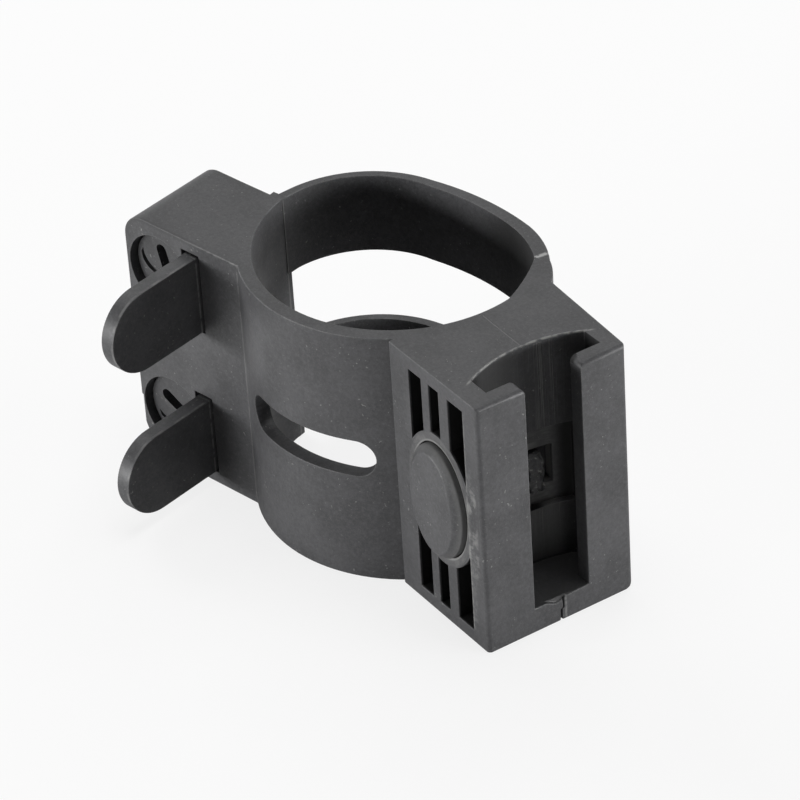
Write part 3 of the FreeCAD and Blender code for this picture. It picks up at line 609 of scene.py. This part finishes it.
def button_marks(f, colour, height):
    """Whitened rough end of the catch with painted glints, and painted light on the button's flank."""
    (low_x, low_y, low_z), (high_x, high_y, high_z) = CATCH_BOX
    end = f.x.step(low_x, low_x + 0.8) * f.y.step(low_y - 0.2, low_y + 0.2)
    end = end * f.z.within(low_z, high_z, 0.1)
    scuffed = end * f.noise(0.6, 4.0, roughness=0.7).step(0.35, 0.6)
    colour = f.mix(scuffed * 0.35, colour, CATCH_SCUFF)
    glints = end * f.noise(0.45, 3.0).step(0.6, 0.68)
    colour = f.mix(glints * 0.7, colour, CATCH_GLINT)
    # Painted light on the button's flank, which lies in shade
    flank = button_oval(f).step(*FLANK_START_OVAL) * f.y.before(*FLANK_END_Y)
    colour = f.mix(flank * 0.6, colour, BUTTON_FLANK_PAINTED_LIGHT)
    return colour, height, scuffed * 0.3


def spring_wire():
    f = Finish("drawn_spring_wire", 0.3)
    f.shader.inputs["Metallic"].default_value = 1.0
    drawn = f.noise(0.2, 2.0, (1, 0.2, 1))
    colour = f.mix(drawn, (0.42, 0.42, 0.43), (0.62, 0.62, 0.63))
    return f.coat(colour, drawn * 0.2 + 0.25)


# pieces
def moulded_body(plastic):
    body = moulded_copy("bracket_body", "moulded_body", EDGE_ROUNDING, BODY_SHARP)
    shade_flat_faces_flat(body)
    body.data.materials.append(plastic)
    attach(body, "bracket")
    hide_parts("bracket_body")


def worm_screw(side, plastic):
    screw = moulded_copy(side + "_clamp_screw", side + "_worm_screw", SCREW_ROUNDING)
    shade_flat_faces_flat(screw)
    screw.data.materials.append(plastic)
    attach(screw, side + "_screw")
    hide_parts(side + "_clamp_screw")


def push_button(plastic):
    button = moulded_copy("release_button", "oval_push_button", EDGE_ROUNDING, BUTTON_SHARP)
    roughen_catch(button)
    shade_flat_faces_flat(button)
    button.data.materials.append(plastic)
    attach(button, "button")
    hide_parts("release_button")


def coil_spring(wire):
    """The button's spring, carried with the bracket."""
    spring = moulded_copy("button_spring", "coil_spring", 0)
    spring.data.materials.append(wire)
    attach(spring, "bracket")
    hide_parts("button_spring")
    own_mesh(spring)


# stage
def direction(azimuth, elevation):
    """Unit vector towards an azimuth from +X and an elevation, both in degrees."""
    a, e = math.radians(azimuth), math.radians(elevation)
    return Vector((math.cos(e) * math.cos(a), math.cos(e) * math.sin(a), math.sin(e)))


def pale_stage():
    put_down()
    bpy.ops.mesh.primitive_plane_add(size=FLOOR_SIZE, location=(0, 0, 0))
    floor = bpy.context.object
    floor.name = "pale_floor"
    f = Finish("pale_floor", 0.9)
    f.shader.inputs["Base Color"].default_value = (0.9, 0.9, 0.9, 1)
    f.shader.inputs["Specular IOR Level"].default_value = 0.0
    f.shader.inputs["Emission Color"].default_value = WHITE
    camera_ray = f.node("ShaderNodeLightPath", {}, {}, "Is Camera Ray")
    glow = f.node("ShaderNodeEmission", {}, {"Color": WHITE, "Strength": 1.0})
    inputs = {0: camera_ray * FLOOR_GLOW, 1: Value(f, f.shader.outputs[0]), 2: glow}
    surface = f.node("ShaderNodeMixShader", {}, inputs)
    f.feed(f.tree.nodes["Material Output"].inputs["Surface"], surface)
    floor.data.materials.append(f.material)


def softbox(name, azimuth, elevation, size, power):
    """Rectangular lamp on a sphere round the part, turned towards it."""
    lamp = bpy.data.lights.new(name, "AREA")
    lamp.shape = "RECTANGLE"
    lamp.size, lamp.size_y = size
    lamp.energy = power
    holder = bpy.data.objects.new(name, lamp)
    bpy.context.scene.collection.objects.link(holder)
    holder.location = direction(azimuth, elevation) * LAMP_REACH + LAMP_CENTRE
    toward = LAMP_AIM - holder.location
    holder.rotation_euler = toward.to_track_quat("-Z", "Y").to_euler()


def studio_world():
    """White to the camera, almost dark to the part."""
    world = bpy.data.worlds.new("studio")
    bpy.context.scene.world = world
    world.use_nodes = True
    tree = world.node_tree
    tree.nodes.clear()
    path = tree.nodes.new("ShaderNodeLightPath")
    both = tree.nodes.new("ShaderNodeMixShader")
    tree.links.new(path.outputs["Is Camera Ray"], both.inputs[0])
    for socket, strength in ((1, WORLD_FILL), (2, 1.0)):
        background = tree.nodes.new("ShaderNodeBackground")
        background.inputs["Color"].default_value = WHITE
        background.inputs["Strength"].default_value = strength
        tree.links.new(background.outputs[0], both.inputs[socket])
    output = tree.nodes.new("ShaderNodeOutputWorld")
    tree.links.new(both.outputs[0], output.inputs["Surface"])


def lighting():
    studio_world()
    softbox("overhead", 60, 84, SQUARE_LAMP, 3.5)
    softbox("far_side", 130, 40, SQUARE_LAMP, 1.7)
    softbox("behind_boss", 180, 30, SQUARE_LAMP, 3.2)
    softbox("low_left", 257, 5, (0.6, 0.15), 8.6)
    softbox("low_right", 40, 5, (0.55, 0.15), 8.5)


def photograph_camera():
    """Camera at the photograph's viewpoint."""
    back = direction(CAMERA_AZIMUTH, CAMERA_ELEVATION)
    level = direction(CAMERA_AZIMUTH + 90, 0)
    right = Matrix.Rotation(math.radians(CAMERA_ROLL), 3, back) @ level
    turned = Matrix((right, back.cross(right), back)).transposed().to_4x4()
    lens = bpy.data.cameras.new("photograph_view")
    lens.lens = CAMERA_LENS
    lens.sensor_width = CAMERA_SENSOR
    lens.clip_start = 0.01
    camera = bpy.data.objects.new("photograph_view", lens)
    bpy.context.scene.collection.objects.link(camera)
    camera.matrix_world = Matrix.Translation(Vector(CAMERA_AT) * MM) @ turned
    bpy.context.scene.camera = camera


moulded_body(moulded_plastic("charcoal_nylon", BODY_CHARCOAL, body_marks))
for screw_side in ("upper", "lower"):
    worm_screw(screw_side, moulded_plastic(screw_side + "_screw_nylon", SCREW_CHARCOAL))
push_button(moulded_plastic("button_nylon", BUTTON_CHARCOAL, button_marks))
coil_spring(spring_wire())

pale_stage()
lighting()
photograph_camera()
bpy.context.scene.view_settings.view_transform = "Standard"
